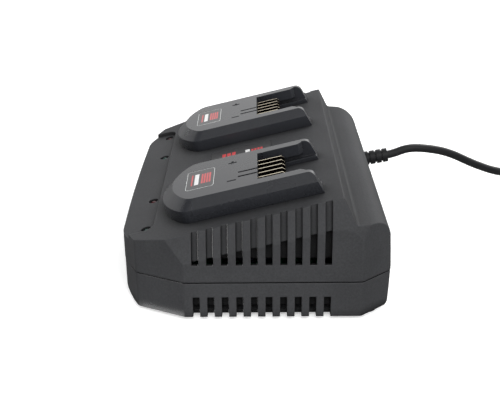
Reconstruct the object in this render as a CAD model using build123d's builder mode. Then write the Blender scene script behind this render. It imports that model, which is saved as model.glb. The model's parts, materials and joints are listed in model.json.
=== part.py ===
"""Two-bay battery charger for slide-on power tool batteries, in millimetres.

+Z is up, +X is to the user's right, the front with the four lamps faces -Y and the mains
lead leaves the back wall at +Y. The origin is the centre of the casing's footprint, on
the surface that the rubber feet stand on.
"""

from build123d import *
from math import cos, degrees, hypot, pi, radians, sin, sqrt, tan
import os

os.makedirs("parts", exist_ok=True)

# ---------------------------------------------------------------- driving dimensions
# casing
body_width = 258.0
body_depth = 178.0
wall = 2.5
foot_height = 2.5
seam_height = 28.2
seam_step = 0.2
deck_angle = 13.5
ridge_setback = 31.6
ridge_height = 84.0
shelf_setback = 23.5
shelf_height = 67.0
back_round = 14.0
back_flare = 1.6
front_bow = 1.4
front_flat_half = 90.0
front_corner_run = 23.2
front_corner_setback = 10.7
front_corner_radius = 32.0
side_front_setback = 43.5
side_back_setback = 18.8
back_flat_half = 111.6
plan_corner_radius = 5.0
shoulder_run = 5.8
shoulder_drop = 17.9
shoulder_corner_radius = 13.0
shoulder_corner_setback = 32.1
shoulder_corner_z = 52.1
front_edge_radius = 2.0
ridge_radius = 0.9
shelf_radius = 3.0
lower_front_round = 11.0
lower_back_round = 4.0
bottom_edge = 0.45
seam_gap = 0.8
lip_height = 1.6
lip_clearance = 0.1

# lamp panel
panel_depth = 2.7
panel_setback = 21.8
panel_half = 102.0
panel_corner = 8.0
lamp_setback = 16.5
lamp_outer_x = 92.9
lamp_inner_x = 44.9
lamp_hole = 7.2
lamp_diameter = 5.0
lamp_flange = 5.8
lamp_flange_height = 1.0
lamp_drop = 0.3
lamp_board_gap = 5.0
lamp_board_width = 9.0
lamp_board_half = 99.0
lamp_post_x = 69.0
lamp_post_diameter = 6.0
lamp_screw_shank = 2.0
lamp_screw_head = 4.0
lamp_screw_head_height = 1.4
lamp_screw_length = 5.0

# vents
vent_count = 10
vent_pitch = 9.5
vent_width = 4.5
vent_middle_y = 4.8
upper_vent_bottom = 40.5
lower_vent_top = 17.2
vent_recess = 6.0
vent_shoulder_recess = 2.2
vent_wall = 8.0
vent_cap_drop = 0.8
vent_cap_run = 2.2
vent_backing_margin = 2.5
upper_backing_bottom = 42.8
lower_backing_bottom = 8.5

# docks
dock_inset = 60.0
dock_half = 37.5
dock_top_half = 32.2
dock_skirt = 8.6
dock_height = 14.6
dock_front = 62.4
dock_top_front = 54.0
dock_front_radius = 50.0
dock_top_front_radius = 45.0
dock_corner = 8.0
dock_back = 47.4
dock_top_back = 42.9
dock_back_round = 5.0
dock_wall = 2.2
dock_hollow_half = 30.8
dock_hollow_front = 51.0
dock_hollow_front_radius = 42.0
dock_hollow_corner = 5.0
dock_hollow_back = 4.0
dock_post_diameter = 7.0
rail_rib_place = 10.0
rail_rib_width = 1.0
rail_rib_rise = 0.6
rail_lead_in = 3.0
dock_front_screw_x = 22.0
dock_front_screw_s = 36.0
dock_back_screw_s = 26.0
dock_opening_half = 14.0
dock_opening_front = 24.0
dock_opening_back = 12.0

# battery slot in each dock
notch_front = 6.1
notch_half = 24.1
groove_half = 28.2
groove_bottom = 3.0
groove_top = 6.5
rail_end = 38.2
slit_width = 2.1
slit_length = 13.5
slit_depth = 1.8
slit_places = (4.0, 12.0)

# contact blades and the blocks that hold them
blade_count = 5
blade_pitch = 7.6
blade_thickness = 0.9
blade_top = 12.2
blade_height = 7.2
blade_reach = 18.4
blade_root = 6.5
blade_tip = 1.6
blade_slot_clearance = 0.1
holder_half = 20.0
holder_length = 12.0

# plates and marks
label_length = 20.0
label_width = 34.0
label_middle = 34.0
label_thickness = 0.5
label_corner = 2.5
label_clearance = 0.1
plate_length = 47.5
plate_width = 40.0
plate_middle = 10.0
plate_thickness = 0.6
plate_corner = 3.0
mark_size = 6.0
mark_stroke = 1.7
mark_depth = 0.6
mark_x = 16.5
mark_s = 11.7

# fasteners
screw_shank = 2.9
screw_head = 5.6
screw_head_height = 2.0
screw_clearance = 0.1
screw_socket = 2.0
screw_socket_depth = 1.0
casing_screw_length = 20.0
casing_seat_below_seam = 8.0
pilot_extra = 2.0
casing_post_diameter = 8.4
side_post_inset = 13.0
side_post_setback = 39.0
back_post_x = 50.0
back_post_inset = 10.0
front_post_x = 24.0
front_post_inset = 8.5
dock_screw_length = 8.0
board_screw_length = 7.0
clamp_screw_length = 9.0

# rubber feet
foot_diameter = 20.8
foot_pocket = 1.0
foot_edge = 0.4
foot_back_inset = (19.0, 16.5)
foot_front_inset = (25.0, 29.0)

# main circuit board and what stands on it
board_half_x = 92.0
board_front = -52.0
board_back = 46.0
board_thickness = 1.6
board_post_height = 6.0
board_post_diameter = 7.0
board_screw_inset = 6.0
core_x = 38.0
core_y = 15.0
core_z = 32.0
core_leg = 11.0
core_yoke = 6.0
core_rim = 5.5
winding_gap = 0.8
winding_overhang = 7.0
bobbin_flange = 1.2
transformer_x = 30.0
transformer_y = 8.0
bulk_diameter = 25.0
bulk_height = 32.0
bulk_inset = (22.0, 38.0)
output_diameter = 12.5
output_height = 22.0
can_chamfer = 1.2
output_inset = 26.0
output_ys = (-6.0, 8.0)
choke_outer = 22.0
choke_inner = 11.0
choke_height = 14.0
choke_round = 2.0
choke_inset = (18.0, 24.0)
x_capacitor_size = (18.0, 8.5, 14.0)
x_capacitor_inset = (21.0, 7.0)
fuse_size = (8.5, 4.0, 8.0)
fuse_inset = (40.0, 8.0)
sink_length = 60.0
sink_height = 28.0
sink_base = 2.5
sink_fin = 1.5
sink_fin_depth = 8.0
sink_fin_count = 9
sink_place_x = 34.0
sink_inset = 16.0
transistor_width = 10.2
transistor_height = 15.5
transistor_depth = 4.5
transistor_lift = 5.0
transistor_lead_width = 0.8
transistor_lead_thickness = 0.6
transistor_lead_pitch = 2.54

# mains lead
cord_diameter = 7.0
cord_inset = 46.0
cord_z = 32.7
relief_length = 25.5
relief_diameter = 11.8
relief_tilt = 10.0
relief_ring_count = 5
relief_groove = 1.3
relief_groove_diameter = 9.2
relief_collar = 2.4
relief_start = 1.2
relief_neck = 8.8
relief_flange = 14.0
relief_flange_thickness = 2.0
relief_slack = 0.2
relief_pocket_slack = 0.6
cord_tail_length = 26.0
cord_bend_share = 0.45
clamp_width = 9.0
clamp_half = 12.0
clamp_thickness = 3.0
clamp_screw_x = 8.5
coil_ring = 76.0
coil_turns_wide = 3
coil_turns_high = 2
coil_middle = (-76.6, 305.0)
coil_lift = 1.2
coil_stub = 25.0
cord_first_run = 5.0
cord_last_run = 25.0
cord_route = [
    (-83.0, 131.5, 43.2),
    (-84.0, 147.5, 42.4),
    (-89.5, 168.5, 36.5),
    (-98.5, 194.0, 21.5),
    (-112.0, 222.0, 8.0),
]
tie_width = 8.0
tie_thickness = 1.0
tie_clearance = 0.1
plug_length = 38.0
plug_width = 35.3
plug_height = 13.7
plug_back_width = 20.0
plug_neck_length = 16.0
plug_neck_diameter = 9.6
pin_diameter = 4.0
pin_length = 19.0
pin_spacing = 18.6
plug_gap = 34.0
plug_shift = 2.0
plug_lead_run = 11.0
plug_taper = 14.0
plug_corner = 3.0
plug_edge = 1.5
pin_tip = 1.0

# ---------------------------------------------------------------- worked-out places
half_width = body_width / 2
half_depth = body_depth / 2
front_y = -half_depth - front_bow
back_y = half_depth + back_flare
ridge_y = half_depth - ridge_setback
shelf_y = half_depth - shelf_setback
shoulder_corner_y = half_depth - shoulder_corner_setback
cord_x = cord_inset - half_width
body_bottom = foot_height
floor_top = body_bottom + wall
slope = tan(radians(deck_angle))
deck_sin = sin(radians(deck_angle))
deck_cos = cos(radians(deck_angle))
deck_zero = ridge_height - ridge_y * slope
beyond = 60.0
deck_plane = Plane(origin=(0, 0, deck_zero), x_dir=(1, 0, 0), z_dir=(0, -deck_sin, deck_cos))
dock_xs = {"left": dock_inset - half_width, "right": half_width - dock_inset}
sides = (-1, 1)


def row(count, pitch, middle=0.0):
    """Evenly spaced places about a middle."""
    return [middle + (i - (count - 1) / 2) * pitch for i in range(count)]


vent_ys = row(vent_count, vent_pitch, vent_middle_y)
blade_xs = row(blade_count, blade_pitch)
lamp_xs = [-lamp_outer_x, -lamp_inner_x, lamp_inner_x, lamp_outer_x]


def deck_height(y):
    """Height of the sloped deck at a place y."""
    return deck_zero + y * slope


def along_deck(y, height=0.0):
    """How far up the slope, from the deck's origin, a point over the place y lies."""
    return (y + height * deck_sin) / deck_cos


def dock_plane(side, height=0.0):
    """The deck under the middle of a dock, lifted by a height square to the deck."""
    middle = Plane(origin=(dock_xs[side], 0, deck_zero), x_dir=(1, 0, 0), z_dir=deck_plane.z_dir)
    return middle.offset(height)


def cross_plane(side, s):
    """Plane across a dock at a distance s up the slope, with y square to the deck."""
    base = dock_plane(side)
    return Plane(origin=base.from_local_coords((0, s, 0)), x_dir=-base.x_dir, z_dir=base.y_dir)


def long_plane(side, across):
    """Plane along a dock: x up the slope, y square to the deck, at a distance across."""
    base = dock_plane(side)
    return Plane(origin=base.from_local_coords((across, 0, 0)), x_dir=base.y_dir, z_dir=base.x_dir)


def finish(piece, label):
    """Name a piece and write it."""
    piece.label = label
    export_step(piece, f"parts/{label}.step")


def discs(plane, places, diameter):
    """Equal circles on a plane."""
    with BuildSketch(plane) as sketch:
        with Locations(*places):
            Circle(diameter / 2)
    return sketch.sketch


# ---------------------------------------------------------------- casing outlines
plan_right = [
    (front_flat_half, -half_depth),
    (front_flat_half + front_corner_run, front_corner_setback - half_depth),
    (half_width, side_front_setback - half_depth),
    (half_width, half_depth - side_back_setback),
    (back_flat_half, back_y),
]
plan_points = plan_right + [(-x, y) for x, y in reversed(plan_right)]
back_round_y = half_depth - back_round
back_round_z = shelf_height - back_round
front_top_z = deck_height(front_y)


def back_wall_y(height):
    """Where the upper casing's back wall is at a height: it flares out down to the seam."""
    return half_depth + back_flare * (back_round_z - height) / (back_round_z - seam_height)


def plan_outline(height, inset):
    """The casing seen from above, at a height, drawn in by an inset. The front is bowed."""
    with BuildSketch(Plane.XY.offset(height)) as sketch:
        with BuildLine():
            Polyline(*plan_points)
            ThreePointArc(plan_points[-1], (0, front_y), plan_points[0])
        make_face()
        fillet(sketch.vertices().sort_by(Axis.Y)[2:], plan_corner_radius)
        fillet(sketch.vertices().sort_by(Axis.Y)[:2], front_corner_radius)
        if inset > 0:
            offset(amount=-inset, kind=Kind.INTERSECTION)
    return sketch.sketch


def upper_outline(inset):
    """Side view of the upper casing: front wall, deck, ridge, shelf and back wall."""
    softened = {
        (front_y, front_top_z): front_edge_radius,
        (ridge_y, ridge_height): ridge_radius,
        (shelf_y, shelf_height): shelf_radius,
    }
    with BuildSketch(Plane.YZ) as sketch:
        with BuildLine():
            Polyline(
                (half_depth, back_round_z),
                (back_y, seam_height),
                (back_y, -beyond),
                (front_y, -beyond),
                (front_y, front_top_z),
                (ridge_y, ridge_height),
                (shelf_y, shelf_height),
                (back_round_y, shelf_height),
            )
            RadiusArc((back_round_y, shelf_height), (half_depth, back_round_z), back_round)
        make_face()
        if inset > 0:
            offset(amount=-inset, kind=Kind.INTERSECTION)
        else:
            for (y, z), radius in softened.items():
                fillet(sketch.vertices().sort_by_distance((y, z, 0))[0], radius)
    return sketch.sketch


def lower_outline(inset):
    """Side view of the lower casing, with its rounded front and back bottom edges."""
    side_inset = inset + seam_step
    low = body_bottom + inset
    front = front_y + side_inset
    back = half_depth - side_inset
    back_top = back_y - side_inset
    with BuildSketch(Plane.YZ) as sketch:
        Polygon(
            (front, low),
            (back, low),
            (back_top, seam_height),
            (back_top, beyond),
            (front, beyond),
            align=None,
        )
        fillet(sketch.vertices().sort_by_distance((front, low, 0))[0], lower_front_round - inset)
        fillet(sketch.vertices().sort_by_distance((back, low, 0))[0], lower_back_round - inset)
    return sketch.sketch


# The shoulder is a steep facet between the deck and each end wall. It runs along the deck's
# slope and turns down round the back corner as part of a cone.
shoulder_plane = Plane(
    origin=(0, shoulder_corner_y, shoulder_corner_z),
    x_dir=(-1, 0, 0),
    z_dir=(0, deck_cos, deck_sin),
)
shoulder_length = hypot(shoulder_run, shoulder_drop)
shoulder_top = (deck_height(shoulder_corner_y) - shoulder_corner_z) * deck_cos


def shoulder_x(radius, inset):
    """How far out the shoulder's face is, at a distance from its corner axis."""
    climb = (radius - shoulder_corner_radius) / shoulder_drop
    return half_width - shoulder_run * climb - inset * shoulder_length / shoulder_drop


def shoulder_section(low, inset, high=2 * beyond):
    """What lies outside the shoulder's face, from a distance low to a distance high."""
    with BuildSketch(shoulder_plane) as sketch:
        Polygon(
            (shoulder_x(low, inset), low),
            (shoulder_x(high, inset), high),
            (half_width + beyond, high),
            (half_width + beyond, low),
            align=None,
        )
    return sketch.sketch


def shoulder_cutter(inset):
    """All that lies outside the shoulders at both ends."""
    section = shoulder_section(shoulder_corner_radius / 2, inset)
    turn = Axis((0, shoulder_corner_y, shoulder_corner_z), (-1, 0, 0))
    with BuildPart() as cutter:
        extrude(section, amount=-(body_depth + beyond))
        revolve(section, axis=turn, revolution_arc=90 + deck_angle)
        mirror(about=Plane.YZ)
    return cutter.part


def upper_form(inset):
    """The upper casing as a solid block, drawn in by an inset."""
    with BuildPart() as form:
        extrude(plan_outline(seam_height, inset), amount=beyond)
        extrude(upper_outline(inset), amount=body_width, both=True, mode=Mode.INTERSECT)
        add(shoulder_cutter(inset), mode=Mode.SUBTRACT)
    return form.part


def lower_form(inset):
    """The lower casing as a solid block, drawn in by an inset."""
    low = body_bottom + inset
    with BuildPart() as form:
        extrude(plan_outline(low, inset + seam_step), amount=seam_height - low)
        if inset == 0:
            chamfer(form.edges().group_by(Axis.Z)[0], bottom_edge)
        extrude(lower_outline(inset), amount=body_width, both=True, mode=Mode.INTERSECT)
    return form.part


# ---------------------------------------------------------------- places of fasteners
casing_post_places = [
    (half_width - side_post_inset, side_post_setback - half_depth),
    (back_post_x, half_depth - back_post_inset),
    (front_post_x, front_post_inset - half_depth),
]
casing_posts = [(sign * x, y) for x, y in casing_post_places for sign in sides]
screw_hole = screw_shank + 2 * screw_clearance
counterbore = screw_head + 2 * screw_clearance
casing_seat = seam_height - casing_seat_below_seam
board_bottom = floor_top + board_post_height
board_top = board_bottom + board_thickness
sink_place_y = board_front + sink_inset
bulk_place = (bulk_inset[0] - board_half_x, board_front + bulk_inset[1])
choke_place = (choke_inset[0] - board_half_x, board_back - choke_inset[1])
x_capacitor_place = (x_capacitor_inset[0] - board_half_x, board_back - x_capacitor_inset[1])
fuse_place = (fuse_inset[0] - board_half_x, board_back - fuse_inset[1])
output_places = [(board_half_x - output_inset, y) for y in output_ys]
board_posts = [
    (sign * (board_half_x - board_screw_inset), y)
    for sign in sides
    for y in (board_front + board_screw_inset, board_back - board_screw_inset)
]
prong_middle = (groove_half + dock_half) / 2
dock_screws_at = [
    (sign * x, s)
    for sign in sides
    for x, s in ((dock_front_screw_x, -dock_front_screw_s), (prong_middle, dock_back_screw_s))
]
relief_inner_y = back_wall_y(cord_z + relief_flange / 2) - wall - relief_slack
tail_start_y = relief_inner_y - relief_flange_thickness
clamp_y = tail_start_y - cord_tail_length / 2
clamp_screws_at = [(cord_x + sign * clamp_screw_x, clamp_y) for sign in sides]
clamp_bore = cord_diameter + 2 * screw_clearance
clamp_top = cord_z + clamp_bore / 2 + clamp_thickness
lamp_floor = -panel_depth
lamp_board_top = lamp_floor - wall - lamp_board_gap
lamp_board_bottom = lamp_board_top - board_thickness
lamp_s = along_deck(lamp_setback - half_depth, lamp_floor)
lamp_posts = [(sign * lamp_post_x, lamp_s) for sign in sides]
lamp_places = [(x, lamp_s) for x in lamp_xs]
panel_back_s = along_deck(panel_setback - half_depth)


def panel_outline(height, margin):
    """The lamp panel's footprint, at a height square to the deck."""
    with BuildSketch(deck_plane.offset(height)) as sketch:
        with Locations((0, panel_back_s + margin)):
            Rectangle(2 * (panel_half + margin), beyond, align=(Align.CENTER, Align.MAX))
        fillet(sketch.vertices().group_by(Axis.Y)[-1], panel_corner)
    return sketch.sketch


def neck_outline(y, slack):
    """The strain relief's neck: round above, straight down to the seam."""
    with BuildSketch(Plane.XZ.offset(-y)) as sketch:
        with Locations((cord_x, cord_z)):
            Circle(relief_neck / 2 + slack)
            Rectangle(
                relief_neck + 2 * slack, cord_z - seam_height, align=(Align.CENTER, Align.MAX)
            )
    return sketch.sketch


# ---------------------------------------------------------------- vents
# Each upper vent is a recess from just under the deck's edge down the shoulder, and a deeper
# one down the end wall. It opens into the casing below the thick part of the wall, and a
# shallow notch cuts the deck's edge above it.
vent_floor_x = half_width - vent_recess
vent_top = shoulder_top - vent_cap_drop
vent_cap_x = shoulder_x(shoulder_top, 0) - vent_cap_run
backing_length = vent_ys[-1] - vent_ys[0] + vent_width + 2 * vent_backing_margin


def vent_backing(low):
    """The thick parts of both end walls behind the vents, from a height upwards."""
    with BuildPart() as backing:
        with BuildSketch(Plane.XY.offset(low)):
            for sign in sides:
                with Locations((sign * (half_width - vent_wall + beyond / 2), vent_middle_y)):
                    Rectangle(beyond, backing_length)
        extrude(amount=beyond)
    return backing.part


with BuildPart() as upper_backing:
    add(shoulder_cutter(vent_wall))
    with BuildSketch(Plane.XY.offset(upper_backing_bottom)):
        with Locations((0, vent_middle_y)):
            Rectangle(2 * body_width, backing_length)
    extrude(amount=beyond, mode=Mode.INTERSECT)
    add(vent_backing(upper_backing_bottom))

with BuildPart() as upper_vents:
    extrude(
        shoulder_section(shoulder_corner_radius, vent_shoulder_recess, vent_top),
        amount=-body_depth,
    )
    with BuildSketch(shoulder_plane):
        with Locations((vent_floor_x, shoulder_corner_radius)):
            Rectangle(beyond, beyond, align=(Align.MIN, Align.MAX))
        Polygon(
            (vent_cap_x, vent_top),
            (vent_cap_x, shoulder_top),
            (half_width, shoulder_top),
            (half_width, vent_top),
            align=None,
        )
    extrude(amount=-body_depth)
    mirror(about=Plane.YZ)
    with BuildSketch(Plane.XY.offset(upper_vent_bottom)):
        with Locations(*[(0, y) for y in vent_ys]):
            Rectangle(2 * body_width, vent_width)
    extrude(amount=beyond, mode=Mode.INTERSECT)

# ---------------------------------------------------------------- upper shell
with BuildPart() as relief_pocket:
    extrude(
        discs(
            Plane.XZ.offset(-half_depth),
            [(cord_x, cord_z)],
            relief_diameter + 2 * relief_pocket_slack,
        ),
        amount=-beyond,
    )

with BuildPart() as upper_cavity:
    add(upper_form(wall))
    add(upper_backing.part, mode=Mode.SUBTRACT)
    extrude(plan_outline(seam_height, wall / 2), amount=lip_height + lip_clearance)
    extrude(panel_outline(lamp_floor - wall, wall), amount=beyond, mode=Mode.SUBTRACT)
    extrude(
        discs(Plane.XY.offset(seam_height), casing_posts, casing_post_diameter),
        amount=beyond,
        mode=Mode.SUBTRACT,
    )
    extrude(
        discs(deck_plane.offset(lamp_board_top), lamp_posts, lamp_post_diameter),
        amount=beyond,
        mode=Mode.SUBTRACT,
    )

with BuildPart() as upper_shell:
    add(upper_form(0))
    add(upper_cavity.part, mode=Mode.SUBTRACT)
    extrude(panel_outline(lamp_floor, 0), amount=beyond, mode=Mode.SUBTRACT)
    add(upper_vents.part, mode=Mode.SUBTRACT)
    # screw holes up into the posts
    extrude(
        discs(Plane.XY.offset(seam_height), casing_posts, screw_hole),
        amount=casing_screw_length - casing_seat_below_seam + pilot_extra,
        mode=Mode.SUBTRACT,
    )
    extrude(
        discs(deck_plane.offset(lamp_board_top), lamp_posts, lamp_screw_shank + 2 * screw_clearance),
        amount=lamp_screw_length,
        mode=Mode.SUBTRACT,
    )
    # holes for the lamps
    extrude(
        discs(deck_plane.offset(lamp_floor + wall), lamp_places, lamp_hole),
        amount=-3 * wall,
        mode=Mode.SUBTRACT,
    )
    # wire openings and screw holes under the docks
    for side in dock_xs:
        with BuildSketch(dock_plane(side, wall)):
            with Locations((0, -dock_opening_front)):
                Rectangle(
                    2 * dock_opening_half,
                    dock_opening_front - dock_opening_back,
                    align=(Align.CENTER, Align.MIN),
                )
            with Locations(*dock_screws_at):
                Circle(screw_hole / 2)
        extrude(amount=-3 * wall, mode=Mode.SUBTRACT)
    # recess for the middle plate
    with BuildSketch(deck_plane.offset(-plate_thickness)):
        with Locations((0, -plate_middle)):
            RectangleRounded(plate_width, plate_length, plate_corner)
    extrude(amount=wall, mode=Mode.SUBTRACT)
    # slot and pocket for the strain relief, open at the seam
    extrude(neck_outline(back_y + wall, relief_slack), amount=4 * wall, mode=Mode.SUBTRACT)
    add(relief_pocket.part, mode=Mode.SUBTRACT)

finish(upper_shell.part, "upper_shell")

# ---------------------------------------------------------------- lower shell
foot_front_x = half_width - foot_front_inset[0]
foot_front_y = foot_front_inset[1] - half_depth
foot_back_x = half_width - foot_back_inset[0]
foot_back_y = half_depth - foot_back_inset[1]
foot_places = {
    "front_left": (-foot_front_x, foot_front_y),
    "front_right": (foot_front_x, foot_front_y),
    "back_left": (-foot_back_x, foot_back_y),
    "back_right": (foot_back_x, foot_back_y),
}
floor_plane = Plane.XY.offset(body_bottom)
pocket_diameter = foot_diameter + 2 * screw_clearance
lip_gap_half = relief_flange / 2 + relief_slack + lip_height

# the outer rim is lower than the posts that carry the upper shell, which leaves an open line
with BuildPart() as seam_line:
    extrude(plan_outline(seam_height, 0), amount=-seam_gap)
    extrude(
        plan_outline(seam_height, wall / 2 + lip_clearance), amount=-seam_gap, mode=Mode.SUBTRACT
    )

with BuildPart() as lower_cavity:
    add(lower_form(wall))
    add(vent_backing(lower_backing_bottom), mode=Mode.SUBTRACT)
    extrude(
        discs(floor_plane, casing_posts, casing_post_diameter), amount=beyond, mode=Mode.SUBTRACT
    )
    extrude(
        discs(floor_plane, board_posts, board_post_diameter),
        amount=board_bottom - body_bottom,
        mode=Mode.SUBTRACT,
    )
    with BuildSketch(floor_plane):
        with Locations((cord_x, clamp_y)):
            Rectangle(2 * clamp_half, clamp_width)
    extrude(amount=beyond, mode=Mode.SUBTRACT)

with BuildPart() as lower_shell:
    add(lower_form(0))
    add(lower_cavity.part, mode=Mode.SUBTRACT)
    add(seam_line.part, mode=Mode.SUBTRACT)
    # lip inside the seam
    lip_outer = plan_outline(seam_height, wall / 2 + lip_clearance)
    extrude(lip_outer, amount=lip_height)
    lip_inner = plan_outline(seam_height, wall + seam_step)
    extrude(lip_inner, amount=lip_height, mode=Mode.SUBTRACT)
    with BuildSketch(Plane.XY.offset(seam_height)):
        with Locations((cord_x, half_depth)):
            Rectangle(2 * lip_gap_half, 4 * wall)
    extrude(amount=lip_height, mode=Mode.SUBTRACT)
    # pedestal for the lead's clamp, above the seam
    with BuildSketch(Plane.XY.offset(seam_height)):
        with Locations((cord_x, clamp_y)):
            Rectangle(2 * clamp_half, clamp_width)
    extrude(amount=cord_z - seam_height)
    extrude(
        discs(Plane.XZ.offset(-half_depth), [(cord_x, cord_z)], clamp_bore),
        amount=2 * (half_depth - clamp_y),
        mode=Mode.SUBTRACT,
    )
    extrude(
        discs(Plane.XY.offset(cord_z), clamp_screws_at, screw_hole),
        amount=-clamp_screw_length,
        mode=Mode.SUBTRACT,
    )
    add(relief_pocket.part, mode=Mode.SUBTRACT)
    # holes for the board's screws
    extrude(
        discs(Plane.XY.offset(board_bottom), board_posts, screw_hole),
        amount=-board_screw_length,
        mode=Mode.SUBTRACT,
    )
    # casing screws: clearance holes and counterbores
    extrude(
        discs(Plane.XY.offset(seam_height), casing_posts, screw_hole),
        amount=-casing_seat_below_seam,
        mode=Mode.SUBTRACT,
    )
    extrude(
        discs(Plane.XY.offset(casing_seat), casing_posts, counterbore),
        amount=-casing_seat,
        mode=Mode.SUBTRACT,
    )
    # pockets for the feet
    extrude(
        discs(floor_plane, list(foot_places.values()), pocket_diameter),
        amount=foot_pocket,
        mode=Mode.SUBTRACT,
    )
    # vents, open at the bottom edge
    with BuildSketch():
        for sign in sides:
            with Locations(*[(sign * (vent_floor_x + beyond / 2), y) for y in vent_ys]):
                Rectangle(beyond, vent_width)
    extrude(amount=lower_vent_top, mode=Mode.SUBTRACT)

finish(lower_shell.part, "lower_shell")


# ---------------------------------------------------------------- docks
def dock_outline(side, height, half, front, radius, corner, back=dock_back + dock_corner):
    """A dock's outline at a height: straight sides and back, bowed front."""
    middle = radius - front
    corner_s = middle - sqrt(radius**2 - half**2)
    with BuildSketch(dock_plane(side, height)) as sketch:
        with BuildLine():
            ThreePointArc((half, corner_s), (0, -front), (-half, corner_s))
            Polyline((-half, corner_s), (-half, back), (half, back), (half, corner_s))
        make_face()
        fillet(sketch.vertices().group_by(Axis.Y)[0], corner)
    return sketch.sketch


def dock_form(side):
    """A dock as a solid block: upright skirt, sloping upper faces, rounded slanted back."""
    base = dock_outline(side, 0, dock_half, dock_front, dock_front_radius, dock_corner)
    waist = dock_outline(side, dock_skirt, dock_half, dock_front, dock_front_radius, dock_corner)
    top = dock_outline(
        side, dock_height, dock_top_half, dock_top_front, dock_top_front_radius, dock_corner
    )
    with BuildPart() as form:
        extrude(base, amount=dock_skirt)
        loft(sections=[waist.face(), top.face()], ruled=True)
        with BuildSketch(long_plane(side, 0)) as profile:
            Polygon(
                (-dock_front - beyond, 0),
                (dock_back, 0),
                (dock_top_back, dock_height),
                (-dock_front - beyond, dock_height),
                align=None,
            )
            fillet(profile.vertices().group_by(Axis.Y)[-1].sort_by(Axis.X)[-1], dock_back_round)
        extrude(amount=beyond, both=True, mode=Mode.INTERSECT)
    return form.part


def dock_hollow(side):
    """The space inside a dock's front part, less the posts for its front screws."""
    outline = dock_outline(
        side,
        0,
        dock_hollow_half,
        dock_hollow_front,
        dock_hollow_front_radius,
        dock_hollow_corner,
        dock_hollow_back,
    )
    front_screws = [place for place in dock_screws_at if place[1] < 0]
    posts = discs(dock_plane(side), front_screws, dock_post_diameter)
    with BuildPart() as hollow:
        extrude(outline, amount=dock_height - dock_wall)
        extrude(posts, amount=dock_height, mode=Mode.SUBTRACT)
    return hollow.part


def battery_slot(side):
    """The open space that a battery's foot slides into."""
    far = dock_back + beyond
    with BuildPart() as slot:
        with BuildSketch(dock_plane(side)):
            Polygon(
                (-notch_half, notch_front),
                (notch_half, notch_front),
                (notch_half, far),
                (-notch_half, far),
                align=None,
            )
        extrude(amount=beyond)
        with BuildSketch(dock_plane(side, groove_bottom)):
            Polygon(
                (-groove_half, notch_front),
                (groove_half, notch_front),
                (groove_half, far),
                (-groove_half, far),
                align=None,
            )
        extrude(amount=groove_top - groove_bottom)
        with BuildSketch(dock_plane(side, groove_bottom)):
            Polygon(
                (-notch_half, rail_end - rail_lead_in),
                (notch_half, rail_end - rail_lead_in),
                (notch_half + rail_lead_in, rail_end),
                (groove_half, rail_end),
                (groove_half, far),
                (-groove_half, far),
                (-groove_half, rail_end),
                (-notch_half - rail_lead_in, rail_end),
                align=None,
            )
        extrude(amount=beyond)
        with BuildSketch(dock_plane(side, groove_top)):
            for sign in sides:
                with Locations((sign * notch_half, rail_rib_place)):
                    Rectangle(2 * rail_rib_rise, rail_rib_width)
        extrude(amount=beyond, mode=Mode.SUBTRACT)
    return slot.part


def plus_mark():
    """A plus sign."""
    Rectangle(mark_size, mark_stroke)
    Rectangle(mark_stroke, mark_size)


blade_slot_height = blade_height + 2 * blade_slot_clearance
blade_middle = blade_top - blade_height / 2
wall_inner = dock_hollow_back
holder_back = wall_inner - holder_length
label_place = (0, -label_middle)

for side in dock_xs:
    with BuildPart() as dock:
        add(dock_form(side))
        add(dock_hollow(side), mode=Mode.SUBTRACT)
        add(battery_slot(side), mode=Mode.SUBTRACT)
        extrude(
            discs(dock_plane(side), dock_screws_at, screw_hole),
            amount=dock_screw_length,
            mode=Mode.SUBTRACT,
        )
        # slots for the contact blades
        with BuildSketch(cross_plane(side, notch_front)):
            with Locations(*[(x, blade_middle) for x in blade_xs]):
                Rectangle(blade_thickness + 2 * blade_slot_clearance, blade_slot_height)
        extrude(amount=-(notch_front - wall_inner), mode=Mode.SUBTRACT)
        # slits, plus and minus marks, and the label's recess in the top face
        with BuildSketch(dock_plane(side, dock_height)):
            with Locations(*[(x, notch_front) for x in slit_places]):
                Rectangle(slit_width, slit_length, align=(Align.CENTER, Align.MAX))
        extrude(amount=-slit_depth, mode=Mode.SUBTRACT)
        with BuildSketch(dock_plane(side, dock_height)):
            with Locations((-mark_x, -mark_s)):
                plus_mark()
            with Locations((mark_x, -mark_s)):
                Rectangle(mark_stroke, mark_size)
        extrude(amount=-mark_depth, mode=Mode.SUBTRACT)
        with BuildSketch(dock_plane(side, dock_height)):
            with Locations(label_place):
                RectangleRounded(label_width, label_length, label_corner)
        extrude(amount=-label_thickness, mode=Mode.SUBTRACT)
    finish(dock.part, f"dock_{side}")

    with BuildPart() as label:
        with BuildSketch(dock_plane(side, dock_height)):
            with Locations(label_place):
                RectangleRounded(
                    label_width - 2 * label_clearance,
                    label_length - 2 * label_clearance,
                    label_corner - label_clearance,
                )
        extrude(amount=-label_thickness)
    finish(label.part, f"dock_label_{side}")

    with BuildPart() as holder:
        with BuildSketch(dock_plane(side)):
            with Locations((0, wall_inner)):
                Rectangle(2 * holder_half, holder_length, align=(Align.CENTER, Align.MAX))
        extrude(amount=blade_top)
        with BuildSketch(cross_plane(side, wall_inner)):
            with Locations(*[(x, blade_middle) for x in blade_xs]):
                Rectangle(blade_thickness, blade_height)
        extrude(amount=-blade_root, mode=Mode.SUBTRACT)
    finish(holder.part, f"terminal_holder_{side}")

    for number, x in enumerate(blade_xs, start=1):
        with BuildPart() as blade:
            with BuildSketch(long_plane(side, x)) as outline:
                with Locations((wall_inner - blade_root, blade_top - blade_height)):
                    Rectangle(
                        blade_root + notch_front - wall_inner + blade_reach,
                        blade_height,
                        align=(Align.MIN, Align.MIN),
                    )
                chamfer(outline.vertices().group_by(Axis.X)[-1], blade_tip)
            extrude(amount=blade_thickness / 2, both=True)
        finish(blade.part, f"contact_blade_{side}_{number}")

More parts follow.
